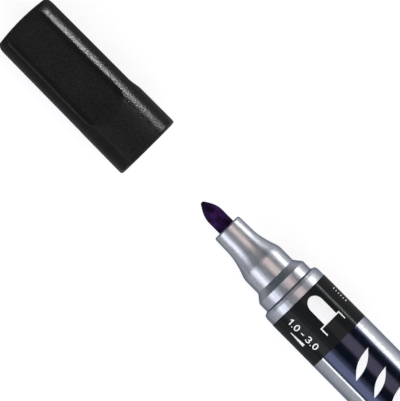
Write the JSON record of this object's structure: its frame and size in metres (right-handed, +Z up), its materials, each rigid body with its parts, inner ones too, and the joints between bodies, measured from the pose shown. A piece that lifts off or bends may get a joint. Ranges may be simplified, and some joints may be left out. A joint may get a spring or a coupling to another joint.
{
  "type": "felt-tip pen",
  "caption": "Round silver felt-tip pen with a dark bullet nib, a stepped nose, a printed barrel and a black cap that pulls off along the axis.",
  "frame": {"origin": "on the pen's axis, at the front end of the barrel", "axes": "+X along the pen towards the writing tip, +Z up with the colour panel on top, the pen lying on its side"},
  "size_m": [0.1841, 0.0164, 0.0164],
  "materials": {
    "cap_plastic": "fine spark-eroded black moulding",
    "liner_plastic": "natural soft moulding",
    "nib_felt": "pressed felt soaked with violet ink",
    "silver_plastic": "silver-pigmented satin moulding",
    "band_film": "black printed film",
    "panel_film": "glossy navy printed film",
    "reservoir_fibre": "bonded fibre rod soaked with ink",
    "wrap_film": "clear film",
    "plug_plastic": "navy moulding"
  },
  "bodies": {
    "pen": {"nib": "nib_felt", "nose_section": "silver_plastic", "barrel": "silver_plastic", "label_band": "band_film", "colour_panel": "panel_film", "ink_reservoir": "reservoir_fibre", "reservoir_wrap": "wrap_film", "tail_plug": "plug_plastic"},
    "cap": {"cap_shell": "cap_plastic", "cap_liner": "liner_plastic"}
  },
  "joints": [
    {"name": "cap_pull", "type": "slide", "parent": "pen", "child": "cap", "axis": [1, 0, 0], "range_m": [-0.04405, 0.02]}
  ]
}
